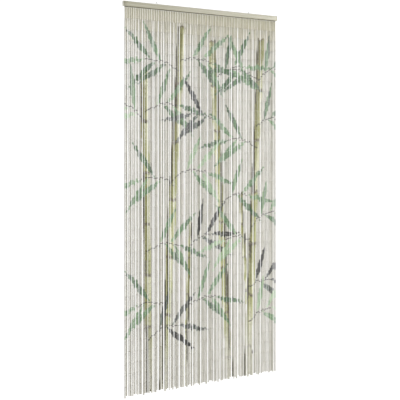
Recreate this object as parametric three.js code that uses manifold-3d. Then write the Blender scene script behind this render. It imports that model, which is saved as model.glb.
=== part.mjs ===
// A door curtain: bamboo strands that hang side by side from a wooden rail with two screw eyes.
// Millimetres, +Z up, +X along the rail, and the printed front faces -Y.
// The origin is on the rail's top face, midway between the two eyes.
import * as THREE from 'three';
import { mergeVertices } from 'three/addons/utils/BufferGeometryUtils.js';
import Module from 'manifold-3d';

// Driving dimensions
const railLength = 1000;
const railHeight = 25;
const railDepth = 14;
const railEdgeRadius = 2;
const curtainDrop = 2000; // from the rail's top to the lowest strand end

const strandCount = 92;
const strandPitch = 10.7;
const sticksPerStrand = 35;
const stickLength = 55.7;
const linkLength = 0.6; // the gap between two sticks, where wire loops join them
const firstStickTop = 30.1; // below the rail's top
const stickSide = 7.05; // the side of a square as large as the section of a round stick
const neckSide = 2; // the wire loops from which the first stick hangs
const neckRoom = 1; // over which a stick's top widens from them

const fitGap = 0.3; // between pieces that touch
const stripLength = 984;
const stripHeight = 3.5;
const stripDepth = 5;
const rootDepth = 2; // how far a strand's root reaches into the strip

const eyeSpacing = 600;
const eyeWireRadius = 0.95;
const eyeRingRadius = 3.95; // to the middle of the wire
const eyeNeck = 1; // bare shank between the rail and the ring
const shankRadius = 1.1;
const shankDepth = 14; // in the rail
const shankPoint = 3;
const holeRise = 1; // how far the drilled hole's cutter stands out above the rail

// How finely round shapes are faceted
const edgeSteps = 4;
const holeSides = 16;
const shankSides = 12;
const wireSides = 10;
const ringSides = 24;
const weldTolerance = 1e-4;

// How the strands hang
const gapPush = 1.7; // how far the widest gap pushes each of its two strands aside
const gapLeast = 0.4; // the narrowest of the wide gaps, as a share of the widest
const gapGrowth = 0.7; // how much further a gap has opened at the bottom, as a share
const gapDecay = 0.5; // the share of the push that each next strand takes
const strayReach = 1.3; // how far a strand hangs from its even place
const wanderReach = 0.7; // how much further it wanders lower down
const leastSpacing = 8.25; // two neighbours can't hang closer than their sticks' thickness
const settlePasses = 60;
const depthReach = 0.8;
const endShortfall = 16; // the shortest strand ends this much above the longest
// The links, counted from the top, at which the strands' places are worked out. The last one is
// at the strands' ends, and from the fifth on the strands wander.
const hangLinks = [1, 2, 3, 4, 13, 24, sticksPerStrand];
const firstWanderingLevel = 4;
// The wide gaps. after is the strand on a gap's left, counted from the left, and link is the
// joint between two sticks where the gap opens, counted from the top.
const wideGaps = [
  { after: 1, link: 1 },
  { after: 3, link: 1 },
  { after: 5, link: 1 },
  { after: 7, link: 1 },
  { after: 9, link: 1 },
  { after: 12, link: 2 },
  { after: 15, link: 1 },
  { after: 18, link: 1 },
  { after: 21, link: 2 },
  { after: 24, link: 2 },
  { after: 27, link: 1 },
  { after: 30, link: 1 },
  { after: 33, link: 2 },
  { after: 38, link: 2 },
  { after: 43, link: 2 },
  { after: 47, link: 1 },
  { after: 51, link: 2 },
  { after: 53, link: 3 },
  { after: 55, link: 1 },
  { after: 57, link: 3 },
  { after: 59, link: 1 },
  { after: 62, link: 3 },
  { after: 66, link: 1 },
  { after: 68, link: 3 },
  { after: 70, link: 1 },
  { after: 72, link: 1 },
  { after: 74, link: 2 },
  { after: 76, link: 1 },
  { after: 86, link: 2 },
  { after: 90, link: 1 },
];

const wasm = await Module();
wasm.setup();

// A closed geometry as a solid that can be joined or cut
function solidOf(geometry) {
  const bare = geometry.clone();
  bare.deleteAttribute('normal');
  bare.deleteAttribute('uv');
  const merged = mergeVertices(bare, weldTolerance);
  return new wasm.Manifold(
    new wasm.Mesh({
      numProp: 3,
      vertProperties: new Float32Array(merged.attributes.position.array),
      triVerts: new Uint32Array(merged.index.array),
    }),
  );
}

function geometryOf(solid) {
  const mesh = solid.getMesh();
  const geometry = new THREE.BufferGeometry();
  geometry.setAttribute('position', new THREE.BufferAttribute(mesh.vertProperties, mesh.numProp));
  geometry.setIndex(new THREE.BufferAttribute(mesh.triVerts, 1));
  geometry.computeVertexNormals();
  return geometry;
}

// An even spread of numbers from 0 to 1, the same ones each time
function spread(index, kind) {
  const wave = Math.sin(index * 12.9898 + kind * 78.233) * 43758.5453;
  return wave - Math.floor(wave);
}

// How far below the rail's top the middle of a link lies
function linkDrop(link) {
  return firstStickTop + link * (stickLength + linkLength) - linkLength / 2;
}

// Where a strand's root is along the rail
function rootX(index) {
  return (index - (strandCount - 1) / 2) * strandPitch;
}

// How far the wide gaps that have opened above a link push a strand aside there
function strandPush(index, link) {
  const growth = 1 + (gapGrowth * link) / sticksPerStrand;
  let push = 0;
  for (const gap of wideGaps) {
    if (gap.link < link) {
      const distance = index - gap.after - 0.5;
      const width = gapLeast + (1 - gapLeast) * spread(gap.after, 0);
      const share = Math.sign(distance) * gapDecay ** (Math.abs(distance) - 0.5);
      push += gapPush * growth * width * share;
    }
  }
  return push;
}

// The same places with neighbours moved apart where their sticks would run into each other
function settled(places) {
  const moved = [...places];
  for (let pass = 0; pass < settlePasses; pass += 1) {
    for (let left = 0; left < strandCount - 1; left += 1) {
      const short = leastSpacing - (moved[left + 1] - moved[left]);
      if (short > 0) {
        moved[left] -= short / 2;
        moved[left + 1] += short / 2;
      }
    }
  }
  return moved;
}

// Where every strand hangs along the rail, at one of the levels
function placesAtLevel(level) {
  const link = hangLinks[level];
  const places = [];
  for (let index = 0; index < strandCount; index += 1) {
    let place = rootX(index) + strandPush(index, link);
    if (level > 0) place += strayReach * (2 * spread(index, 3) - 1);
    if (level >= firstWanderingLevel) place += wanderReach * (2 * spread(index, 3 + level) - 1);
    places.push(place);
  }
  return settled(places);
}

// A strand's sections from its root down: the neck of wire loops, then the sticks
function strandSections(index, levelPlaces) {
  const x = rootX(index);
  const depth = depthReach * (2 * spread(index, 2) - 1);
  const shortfall = index > 0 ? endShortfall * spread(index, 1) : 0;
  const rootZ = rootDepth - railHeight - fitGap - stripHeight;
  const sections = [
    { x, y: 0, z: rootZ, half: neckSide / 2 },
    { x, y: 0, z: neckRoom - firstStickTop, half: neckSide / 2 },
    { x, y: 0, z: -firstStickTop, half: stickSide / 2 },
  ];
  for (const [level, link] of hangLinks.entries()) {
    const isEnd = link === sticksPerStrand;
    sections.push({
      x: levelPlaces[level][index],
      y: depth,
      z: isEnd ? shortfall - curtainDrop : -linkDrop(link),
      half: stickSide / 2,
    });
  }
  return sections;
}

// A strand as a four-sided bar through its sections, closed at both ends
function strandGeometry(sections) {
  const positions = [];
  const triangles = [];
  for (const { x, y, z, half } of sections) {
    positions.push(x - half, y - half, z, x + half, y - half, z);
    positions.push(x + half, y + half, z, x - half, y + half, z);
  }
  for (let row = 0; row < sections.length - 1; row += 1) {
    for (let side = 0; side < 4; side += 1) {
      const a = row * 4 + side;
      const b = row * 4 + ((side + 1) % 4);
      triangles.push(a, a + 4, b, b, a + 4, b + 4);
    }
  }
  const last = (sections.length - 1) * 4;
  triangles.push(0, 1, 2, 0, 2, 3);
  triangles.push(last, last + 2, last + 1, last, last + 3, last + 2);
  const geometry = new THREE.BufferGeometry();
  geometry.setAttribute('position', new THREE.Float32BufferAttribute(positions, 3));
  geometry.setIndex(triangles);
  return geometry;
}

// The strands, joined at their roots by the narrow strip that they hang from
function strandCurtainGeometry() {
  const strip = new THREE.BoxGeometry(stripLength, stripDepth, stripHeight);
  strip.translate(0, 0, -railHeight - fitGap - stripHeight / 2);
  let curtain = solidOf(strip);
  const levelPlaces = hangLinks.map((link, level) => placesAtLevel(level));
  for (let index = 0; index < strandCount; index += 1) {
    const sections = strandSections(index, levelPlaces);
    curtain = curtain.add(solidOf(strandGeometry(sections)));
  }
  return geometryOf(curtain);
}

// The rail's section in the YZ plane, with its long edges rounded
function railOutline() {
  const side = railDepth / 2 - railEdgeRadius;
  const top = -railEdgeRadius;
  const bottom = railEdgeRadius - railHeight;
  const quarter = Math.PI / 2;
  const outline = new THREE.Shape();
  outline.moveTo(-side, -railHeight);
  outline.absarc(side, bottom, railEdgeRadius, -quarter, 0);
  outline.absarc(side, top, railEdgeRadius, 0, quarter);
  outline.absarc(-side, top, railEdgeRadius, quarter, 2 * quarter);
  outline.absarc(-side, bottom, railEdgeRadius, 2 * quarter, 3 * quarter);
  return outline;
}

function railGeometry() {
  const slat = new THREE.ExtrudeGeometry(railOutline(), {
    depth: railLength,
    bevelEnabled: false,
    curveSegments: edgeSteps,
  });
  slat.translate(0, 0, -railLength / 2);
  const alongRail = new THREE.Matrix4().makeBasis(
    new THREE.Vector3(0, 1, 0),
    new THREE.Vector3(0, 0, 1),
    new THREE.Vector3(1, 0, 0),
  );
  slat.applyMatrix4(alongRail);
  let rail = solidOf(slat);
  for (const side of [-1, 1]) {
    const radius = shankRadius + fitGap;
    const length = shankDepth + fitGap + holeRise;
    const hole = new THREE.CylinderGeometry(radius, radius, length, holeSides);
    hole.rotateX(Math.PI / 2);
    hole.translate((side * eyeSpacing) / 2, 0, holeRise - length / 2);
    rail = rail.subtract(solidOf(hole));
  }
  return geometryOf(rail);
}

// A screw eye at its own origin, which is on the rail's top face
function screwEyeGeometry() {
  const ringHeight = eyeNeck + eyeRingRadius + eyeWireRadius;
  const ring = new THREE.TorusGeometry(eyeRingRadius, eyeWireRadius, wireSides, ringSides);
  ring.rotateX(Math.PI / 2);
  ring.translate(0, 0, ringHeight);
  const shankOutline = [
    new THREE.Vector2(0, -shankDepth),
    new THREE.Vector2(shankRadius, -shankDepth + shankPoint),
    new THREE.Vector2(shankRadius, eyeNeck),
    new THREE.Vector2(0, eyeNeck + eyeWireRadius),
  ];
  const shank = new THREE.LatheGeometry(shankOutline, shankSides);
  shank.rotateX(Math.PI / 2);
  return geometryOf(solidOf(ring).add(solidOf(shank)));
}

const bambooGround = new THREE.MeshStandardMaterial({ color: '#cfcabb', roughness: 0.6, metalness: 0 });
const railWood = new THREE.MeshStandardMaterial({ color: '#c9c6b0', roughness: 0.55, metalness: 0 });
const steel = new THREE.MeshStandardMaterial({ color: '#b9b9b6', roughness: 0.35, metalness: 1 });

function piece(name, geometry, material) {
  const mesh = new THREE.Mesh(geometry, material);
  mesh.name = name;
  return mesh;
}

const curtain = new THREE.Group();
curtain.add(piece('rail', railGeometry(), railWood));
curtain.add(piece('strand_curtain', strandCurtainGeometry(), bambooGround));
for (const { name, side } of [
  { name: 'screw_eye_left', side: -1 },
  { name: 'screw_eye_right', side: 1 },
]) {
  const eye = piece(name, screwEyeGeometry(), steel);
  eye.position.x = (side * eyeSpacing) / 2;
  curtain.add(eye);
}

export default curtain;
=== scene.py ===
"""The looks of a bamboo strand door curtain that hangs from a wooden rail.

Metres, +Z up, +X along the rail, and the printed front faces -Y. The origin is on the rail's
top face, midway between its two screw eyes.
"""

import logging
import math
from dataclasses import astuple, dataclass, field
from enum import Enum
from typing import NamedTuple, Sequence

import bpy
import numpy as np
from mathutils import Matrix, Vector


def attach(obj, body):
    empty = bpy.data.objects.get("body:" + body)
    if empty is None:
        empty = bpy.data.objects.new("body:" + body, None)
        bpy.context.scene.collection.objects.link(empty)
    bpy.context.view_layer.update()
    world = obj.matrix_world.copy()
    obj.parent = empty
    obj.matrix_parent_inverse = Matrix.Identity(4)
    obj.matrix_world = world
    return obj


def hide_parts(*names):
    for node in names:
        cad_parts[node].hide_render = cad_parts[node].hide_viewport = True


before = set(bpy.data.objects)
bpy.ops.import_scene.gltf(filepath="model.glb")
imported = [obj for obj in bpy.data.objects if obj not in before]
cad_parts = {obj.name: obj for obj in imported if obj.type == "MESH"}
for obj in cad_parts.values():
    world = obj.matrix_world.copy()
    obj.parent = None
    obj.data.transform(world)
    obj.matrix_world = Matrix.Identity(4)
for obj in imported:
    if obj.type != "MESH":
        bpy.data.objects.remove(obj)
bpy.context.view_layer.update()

Array = np.ndarray
Piece = bpy.types.Object

LOG = logging.getLogger("door_curtain")

ROOT = "root"
STRAND_NODE = "strand_curtain"
RAIL_NODE = "rail"
EYE_NODES = ("screw_eye_left", "screw_eye_right")
BAKE_MAP = "OFBake"
MM = 0.001
FULL_TURN = 2 * math.pi
WHITE = (1.0, 1.0, 1.0, 1.0)
BLACK = (0.0, 0.0, 0.0, 1.0)


def srgb(red: float, green: float, blue: float) -> tuple[float, float, float, float]:
    """Turns a screen's colour of 0 to 255 a channel into a linear one, by the sRGB curve.

    Args:
        red: The red channel.
        green: The green channel.
        blue: The blue channel.

    Returns:
        The linear colour, with an alpha of 1.
    """
    linear = []
    for value in (red, green, blue):
        share = value / 255
        linear.append(share / 12.92 if share <= 0.04045 else ((share + 0.055) / 1.055) ** 2.4)
    return (*linear, 1.0)


# The gaps wider than the pitch gives: the strand on a gap's left, and the link where it opens
WIDE_GAPS = (
    (1, 1), (3, 1), (5, 1), (7, 1), (9, 1), (12, 2), (15, 1), (18, 1), (21, 2), (24, 2),
    (27, 1), (30, 1), (33, 2), (38, 2), (43, 2), (47, 1), (51, 2), (53, 3), (55, 1), (57, 3),
    (59, 1), (62, 3), (66, 1), (68, 3), (70, 1), (72, 1), (74, 2), (76, 1), (86, 2), (90, 1),
)


@dataclass(frozen=True)
class Sticks:
    """The sticks of all strands: both ends, radius, and place in the curtain, an entry for each."""

    top: Array
    low: Array
    radius: Array
    strand: Array
    number: Array

    def part(self, chosen: Array) -> "Sticks":
        """Returns only the chosen sticks."""
        return Sticks(*(values[chosen] for values in vars(self).values()))


@dataclass(frozen=True)
class StrandLayout:
    """Where each strand hangs and each stick of it lies, below the rail's top.

    The sizes up to spread_gain are those of the solids. The others move or thicken single
    sticks a little.
    """

    count: int = 92
    pitch: float = 10.7 * MM
    sticks: int = 35
    link_length: float = 0.6 * MM
    first_top: float = 30.1 * MM
    drop: float = 2000 * MM
    gap_push: float = 1.7 * MM
    gap_least: float = 0.4
    gap_growth: float = 0.7
    gap_decay: float = 0.5
    stray_reach: float = 1.3 * MM
    wander_reach: float = 0.7 * MM
    least_spacing: float = 8.25 * MM
    settle_passes: int = 60
    depth_reach: float = 0.8 * MM
    end_shortfall: float = 16 * MM
    level_links: tuple[int, ...] = (1, 2, 3, 4, 13, 24, 35)
    first_wandering_level: int = 4
    spread_steps: tuple[float, float] = (12.9898, 78.233)
    spread_gain: float = 43758.5453
    stick_radius: float = 3.98 * MM
    strand_thickness_stray: float = 0.045
    stick_thickness_stray: float = 0.012
    jump_share: float = 0.45
    joint_play: float = 0.06 * MM
    stagger: float = 1.6 * MM
    seed: int = 41

    def spread(self, strands: Array | int, kind: int) -> Array:
        """Spreads numbers over the strands, the same ones as in the solids.

        Args:
            strands: The strands' numbers.
            kind: What the numbers are for. Each use has a kind of its own.

        Returns:
            A number from 0 to 1 for each strand.
        """
        by_strand, by_kind = self.spread_steps
        wave = np.sin(np.asarray(strands) * by_strand + kind * by_kind) * self.spread_gain
        return wave - np.floor(wave)

    def root_x(self) -> Array:
        """Returns the even places of the strands' roots along the rail."""
        return (np.arange(self.count) - (self.count - 1) / 2) * self.pitch

    def push(self, link: int) -> Array:
        """Adds up how far the gaps that opened above a link push the strands aside there.

        Args:
            link: The link's number, counted down from the strands' tops.

        Returns:
            How far each strand is moved along the rail.
        """
        strands = np.arange(self.count)
        growth = 1 + self.gap_growth * link / self.sticks
        pushed = np.zeros(self.count)
        for after, opening_link in WIDE_GAPS:
            if opening_link < link:
                distance = strands - after - 0.5
                width = self.gap_least + (1 - self.gap_least) * self.spread(after, 0)
                share = np.sign(distance) * self.gap_decay ** (np.abs(distance) - 0.5)
                pushed += self.gap_push * growth * width * share
        return pushed

    def settled(self, places: Array) -> Array:
        """Moves neighbours apart where their sticks would run into each other.

        Args:
            places: The strands' places along the rail.

        Returns:
            The places after the move.
        """
        places = places.copy()
        for _ in range(self.settle_passes):
            for left in range(self.count - 1):
                short = self.least_spacing - (places[left + 1] - places[left])
                if short > 0:
                    places[left] -= short / 2
                    places[left + 1] += short / 2
        return places

    def link_x(self) -> Array:
        """Finds where each strand's links are along the rail.

        Returns:
            The places by strand and link.
        """
        strands = np.arange(self.count)
        levels = []
        for level, link in enumerate(self.level_links):
            stray = self.stray_reach * (2 * self.spread(strands, 3) - 1) * (level > 0)
            if level >= self.first_wandering_level:
                stray = stray + self.wander_reach * (2 * self.spread(strands, 3 + level) - 1)
            levels.append(self.settled(self.root_x() + self.push(link) + stray))
        links = np.arange(self.sticks + 1)
        by_strand = np.stack(levels, axis=1)
        return np.stack([np.interp(links, self.level_links, row) for row in by_strand])

    def link_z(self, draw: np.random.Generator) -> Array:
        """Finds the heights of each strand's links, which stagger from strand to strand.

        Args:
            draw: The source of what varies from link to link.

        Returns:
            The heights by strand and link.
        """
        strands, links = np.arange(self.count), np.arange(self.sticks + 1)
        shortfall = np.where(strands > 0, self.end_shortfall * self.spread(strands, 1), 0.0)
        lowest = shortfall - self.drop - self.link_length / 2
        highest = -self.first_top + self.link_length / 2
        z = highest + (lowest - highest)[:, None] * links / self.sticks
        drift = np.cumsum(draw.uniform(-1, 1, z.shape) * self.stagger, axis=1)
        drift -= drift[:, :1] + (drift[:, -1:] - drift[:, :1]) * links / self.sticks
        return z + drift

    def sticks_of_strands(self) -> Sticks:
        """Lays out every stick of every strand.

        Returns:
            The sticks, strand by strand and from the top down.
        """
        draw = np.random.default_rng(self.seed)
        z = self.link_z(draw)
        hung = (np.arange(self.sticks + 1) > 0).astype(float)
        x = self.link_x() + draw.uniform(-1, 1, z.shape) * self.joint_play * hung
        depth = self.depth_reach * (2 * self.spread(np.arange(self.count), 2) - 1)
        y = (depth[:, None] + draw.uniform(-1, 1, z.shape) * self.joint_play) * hung
        start = x[:, :-1].copy()
        opening = slice(1, self.first_wandering_level)
        start[:, opening] += self.jump_share * (x[:, 1:] - x[:, :-1])[:, opening]
        half_link = self.link_length / 2
        top = np.stack([start, y[:, :-1], z[:, :-1] - half_link], -1)
        low = np.stack([x[:, 1:], y[:, 1:], z[:, 1:] + half_link], -1)
        by_strand = 1 + self.strand_thickness_stray * draw.uniform(-1, 1, (self.count, 1))
        by_stick = 1 + self.stick_thickness_stray * draw.uniform(-1, 1, (self.count, self.sticks))
        return Sticks(
            top=top.reshape(-1, 3),
            low=low.reshape(-1, 3),
            radius=(self.stick_radius * by_strand * by_stick).reshape(-1),
            strand=np.repeat(np.arange(self.count), self.sticks),
            number=np.tile(np.arange(self.sticks), self.count),
        )


class Ink(Enum):
    """The inks of the print. The value is the ink's place on the shader's ramp."""

    PALE = 0.1
    MID = 0.3
    DEEP = 0.44
    SLATE = 0.7
    CHARCOAL = 0.9


# The ink of every third leaf of a spray, by the spray's own ink
SECOND_INKS = {
    Ink.PALE: Ink.MID,
    Ink.MID: Ink.DEEP,
    Ink.DEEP: Ink.MID,
    Ink.SLATE: Ink.CHARCOAL,
    Ink.CHARCOAL: Ink.SLATE,
}

# How soon a leaf grows full along its length, and how far outside its edge its ink may fray
LEAF_FULLNESS = 0.8
LEAF_MARGIN = 0.12
# How many leaves and twigs a stick can bear
LEAF_SLOTS = 4
TWIG_SLOTS = 2


@dataclass(frozen=True)
class Leaf:
    """A lance leaf of the print: its foot, heading, length and half width, in the print's plane."""

    foot: tuple[float, float]
    heading: float
    length: float
    half_width: float
    ink: Ink

    def along_and_across(self, x: Array, z: Array) -> tuple[Array, Array]:
        """Measures points against the leaf.

        Args:
            x: The points' places across the print.
            z: Their heights.

        Returns:
            Shares of the leaf's length along it, and of its half width across.
        """
        dx, dz = x - self.foot[0], z - self.foot[1]
        cos, sin = math.cos(self.heading), math.sin(self.heading)
        return (dx * cos + dz * sin) / self.length, (dz * cos - dx * sin) / self.half_width

    def covers(self, x: Array, z: Array) -> Array:
        """Finds which points lie in the leaf, or just outside its edge.

        Args:
            x: The points' places across the print.
            z: Their heights.

        Returns:
            True for each point that does.
        """
        along, across = self.along_and_across(x, z)
        profile = np.sin(np.pi * np.clip(along, 0, 1) ** LEAF_FULLNESS)
        return (along > 0) & (along < 1) & (np.abs(across) < profile + LEAF_MARGIN)

    def read(self, x: Array, z: Array) -> Array:
        """Returns points along and across the leaf, with its ink."""
        along, across = self.along_and_across(x, z)
        return np.stack([along, across, np.full_like(along, self.ink.value)], -1)


@dataclass(frozen=True)
class Twig:
    """A thin round arc of the print, from which leaves grow."""

    start: tuple[float, float]
    heading: float
    length: float
    turn: float
    half_width: float = 2.5 * MM
    search_share: float = 3.0

    @property
    def radius(self) -> float:
        """The arc's radius."""
        return self.length / abs(self.turn)

    @property
    def centre(self) -> tuple[float, float]:
        """The middle of the circle that the arc is part of.

        Returns:
            The middle, across and up the print.
        """
        side = math.copysign(self.radius, self.turn)
        return (
            self.start[0] - side * math.sin(self.heading),
            self.start[1] + side * math.cos(self.heading),
        )

    def at(self, share: float) -> tuple[tuple[float, float], float]:
        """Finds a place on the arc.

        Args:
            share: How far along the arc it is, from 0 to 1.

        Returns:
            The place, and the arc's heading there.
        """
        heading = self.heading + self.turn * share
        side = math.copysign(self.radius, self.turn)
        x = self.centre[0] + side * math.sin(heading)
        z = self.centre[1] - side * math.cos(heading)
        return (x, z), heading

    def covers(self, x: Array, z: Array) -> Array:
        """Finds which points lie on the arc or close beside it.

        Args:
            x: The points' places across the print.
            z: Their heights.

        Returns:
            True for each point that does.
        """
        dx, dz = x - self.centre[0], z - self.centre[1]
        near = np.abs(np.hypot(dx, dz) - self.radius) < self.search_share * self.half_width
        heading = np.arctan2(dz, dx) + math.copysign(math.pi / 2, self.turn)
        swept = (heading - self.heading) * math.copysign(1, self.turn)
        swept = np.mod(swept + math.pi, FULL_TURN) - math.pi
        return near & (swept > 0) & (swept < abs(self.turn))

    def read(self, x: Array, z: Array) -> Array:
        """Measures points from the arc's centre, as shares of its radius.

        Args:
            x: The points' places across the print.
            z: Their heights.

        Returns:
            How far across and up each point is from the centre, and the arc's half width.
        """
        away = np.stack([x - self.centre[0], z - self.centre[1]], -1)
        width = np.full_like(x, self.half_width)[..., None]
        return np.concatenate([away, width], -1) / self.radius


@dataclass(frozen=True)
class Stem:
    """An upright stem of the print: its place at the origin's level, lean, top and half width."""

    x: float
    lean: float
    top: float
    half_width: float
    ring_pitch: float
    tone: float
    bottom: float = -2.02

    def across(self, x: Array, z: Array) -> Array:
        """Returns points as shares of the stem's half width across it."""
        return (x - self.x - self.lean * z) / self.half_width

    def at(self, z: float) -> tuple[float, float]:
        """Returns the middle of the stem at a height."""
        return self.x + self.lean * z, z

    def covers(self, x: Array, z: Array) -> Array:
        """Returns whether each point lies on the stem."""
        return (np.abs(self.across(x, z)) < 1) & (z < self.top) & (z > self.bottom)

    def read(self, x: Array, z: Array) -> Array:
        """Returns points across the stem and down it in rings, with its tone."""
        down = (self.top - z) / self.ring_pitch
        return np.stack([self.across(x, z), down, np.full_like(down, self.tone)], -1)


@dataclass(frozen=True)
class Spray:
    """A side branch: where on its stem it starts, which way it goes and what leaves it bears."""

    stem: int
    z: float
    heading_deg: float
    length: float
    turn_deg: float
    leaves: int
    ink: Ink
    leaf_length: float = 0.25
    leaf_half_width: float = 16.5 * MM
    first_leaf: float = 0.4
    spread_deg: float = 54.0
    spread_loss_deg: float = 10.0
    size_loss: float = 0.16
    largest_at: float = 1.25

    def twig(self, stems: Sequence[Stem]) -> Twig:
        """Returns the branch's own thin arc."""
        heading, turn = math.radians(self.heading_deg), math.radians(self.turn_deg)
        return Twig(stems[self.stem].at(self.z), heading, self.length, turn)

    def drawn_leaves(self, stems: Sequence[Stem]) -> list[Leaf]:
        """Draws the leaves: one at each side in turn, and one at the tip.

        Args:
            stems: The print's stems.

        Returns:
            The leaves, from the stem outward.
        """
        twig = self.twig(stems)
        drawn = []
        for number in range(self.leaves):
            share = self.first_leaf + (1 - self.first_leaf) * number / (self.leaves - 1)
            place, heading = twig.at(share)
            spread = math.radians(self.spread_deg - self.spread_loss_deg * share)
            swing = 0.0 if number == self.leaves - 1 else (-1) ** number * spread
            size = 1.0 - self.size_loss * abs(2 * share - self.largest_at)
            ink = SECOND_INKS[self.ink] if number % 3 == 1 else self.ink
            length, half_width = self.leaf_length * size, self.leaf_half_width * size
            drawn.append(Leaf(place, heading + swing, length, half_width, ink))
        return drawn


STEMS = (
    Stem(x=-0.385, lean=-0.022, top=-0.345, half_width=23 * MM, ring_pitch=0.262, tone=0.0),
    Stem(x=-0.140, lean=0.062, top=-0.105, half_width=26 * MM, ring_pitch=0.301, tone=0.37),
    Stem(x=0.040, lean=-0.066, top=-0.165, half_width=24 * MM, ring_pitch=0.244, tone=0.74),
    Stem(x=0.392, lean=0.052, top=-0.135, half_width=25 * MM, ring_pitch=0.283, tone=0.11),
    Stem(x=0.160, lean=-0.084, top=-0.985, half_width=12 * MM, ring_pitch=0.177, tone=0.48),
    Stem(x=-0.030, lean=0.050, top=-1.130, half_width=12 * MM, ring_pitch=0.191, tone=0.85),
)

SPRAYS = (
    Spray(1, -0.34, 146, 0.22, 40, 5, Ink.DEEP),
    Spray(1, -0.29, 24, 0.21, -46, 5, Ink.MID),
    Spray(2, -0.38, 46, 0.22, -46, 5, Ink.DEEP),
    Spray(3, -0.37, 142, 0.20, 44, 4, Ink.DEEP),
    Spray(3, -0.36, 50, 0.15, -44, 4, Ink.DEEP),
    Spray(0, -0.61, 126, 0.15, 30, 4, Ink.PALE),
    Spray(0, -0.56, 38, 0.21, -52, 5, Ink.MID),
    Spray(2, -0.60, 144, 0.16, 46, 4, Ink.SLATE),
    Spray(3, -0.74, 142, 0.20, 50, 5, Ink.MID),
    Spray(3, -0.62, 45, 0.14, -52, 4, Ink.DEEP),
    Spray(1, -0.93, 146, 0.20, 50, 4, Ink.MID),
    Spray(1, -0.90, 36, 0.22, -56, 5, Ink.PALE),
    Spray(2, -1.04, 40, 0.19, -54, 4, Ink.MID),
    Spray(0, -1.27, 34, 0.20, -56, 5, Ink.MID),
    Spray(5, -1.26, 50, 0.15, -52, 4, Ink.CHARCOAL),
    Spray(3, -1.26, 146, 0.19, 52, 4, Ink.PALE),
    Spray(3, -1.16, 48, 0.16, -52, 4, Ink.MID),
    Spray(1, -1.56, 148, 0.18, 52, 4, Ink.MID),
    Spray(5, -1.58, 40, 0.19, -54, 5, Ink.MID),
    Spray(4, -1.52, 42, 0.17, -54, 4, Ink.CHARCOAL),
    Spray(0, -1.72, 46, 0.19, -58, 4, Ink.SLATE),
    Spray(3, -1.70, 48, 0.17, -52, 4, Ink.PALE),
)


Motif = Leaf | Twig | Stem


@dataclass(frozen=True)
class Print:
    """The print on the curtain's front: stems, and sprays of lance leaves on thin twigs."""

    stems: tuple[Stem, ...] = STEMS
    sprays: tuple[Spray, ...] = SPRAYS
    samples_across: int = 5
    samples_down: int = 18

    def leaves(self) -> list[Leaf]:
        """Returns every leaf, in the order in which they are painted."""
        return [leaf for spray in self.sprays for leaf in spray.drawn_leaves(self.stems)]

    def twigs(self) -> list[Twig]:
        """Returns the thin arc of every spray."""
        return [spray.twig(self.stems) for spray in self.sprays]

    def borne(self, motifs: Sequence[Motif], x: Array, z: Array, slots: int) -> Array:
        """Picks which motifs each stick bears.

        Args:
            motifs: The motifs to pick from, in painting order.
            x: Sample points of each stick, across.
            z: The same points' heights.
            slots: How many motifs a stick can bear.

        Returns:
            The motifs' numbers by stick and slot, in painting order, or -1 in a free slot.
        """
        covered = np.stack([motif.covers(x, z).sum((1, 2)) for motif in motifs], 1)
        most = np.argsort(-covered, axis=1, kind="stable")[:, :slots]
        held = np.take_along_axis(covered, most, axis=1) > 0
        return np.sort(np.where(held, most, -1), axis=1)


@dataclass(frozen=True)
class Tile:
    """A small closed shape that a mesh repeats: faces as point numbers, and a map of 0 to 1."""

    faces: tuple[tuple[int, ...], ...]
    face_maps: tuple[tuple[tuple[float, float], ...], ...]
    smooth: tuple[bool, ...]
    point_count: int
    map_inset: float = 0.04

    def facing_other_way(self) -> "Tile":
        """Turns every face round.

        Returns:
            The turned tile.
        """
        faces = tuple(tuple(reversed(face)) for face in self.faces)
        face_maps = tuple(tuple(reversed(places)) for places in self.face_maps)
        return Tile(faces, face_maps, self.smooth, self.point_count)

    def build(
        self,
        name: str,
        points: Array,
        cells: Array,
        grid: tuple[int, int],
        attributes: dict[str, Array],
    ) -> Piece:
        """Makes a piece of copies of the tile, each with its map in a cell of its own.

        Args:
            name: The piece's name.
            points: The points of all copies, one copy after the other.
            cells: Each copy's column and row in the map.
            grid: How many columns and rows the map has.
            attributes: What the shaders read at each point, by name.

        Returns:
            The object, linked to the scene.
        """
        copies, points = len(cells), points.reshape(-1, 3)
        corners = np.concatenate([np.array(face) for face in self.faces])
        corners = corners[None, :] + np.arange(copies)[:, None] * self.point_count
        sizes = np.tile([len(face) for face in self.faces], copies)
        inner = np.array([place for face in self.face_maps for place in face])
        inset = self.map_inset + (1 - 2 * self.map_inset) * inner
        corner_map = (cells[:, None] + inset[None]) / np.array(grid)
        mesh = bpy.data.meshes.new(name)
        mesh.vertices.add(len(points))
        mesh.vertices.foreach_set("co", points.astype(np.float32).ravel())
        mesh.loops.add(corners.size)
        mesh.loops.foreach_set("vertex_index", corners.astype(np.int32).ravel())
        mesh.polygons.add(len(sizes))
        mesh.polygons.foreach_set("loop_start", (np.cumsum(sizes) - sizes).astype(np.int32))
        mesh.polygons.foreach_set("use_smooth", np.tile(self.smooth, copies))
        for label, values in attributes.items():
            kind, entry = ("FLOAT_VECTOR", "vector") if values.ndim == 2 else ("FLOAT", "value")
            made = mesh.attributes.new(label, kind, "POINT")
            made.data.foreach_set(entry, values.astype(np.float32).ravel())
        layer = mesh.uv_layers.new(name=BAKE_MAP)
        layer.data.foreach_set("uv", corner_map.astype(np.float32).ravel())
        mesh.update(calc_edges=True)
        mesh.validate()
        piece = bpy.data.objects.new(name, mesh)
        bpy.context.scene.collection.objects.link(piece)
        return piece

    def build_one(self, name: str, points: Array) -> Piece:
        """Makes a piece of a single copy, whose map fills the whole square."""
        return self.build(name, points, np.zeros((1, 2)), (1, 1), {})


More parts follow.
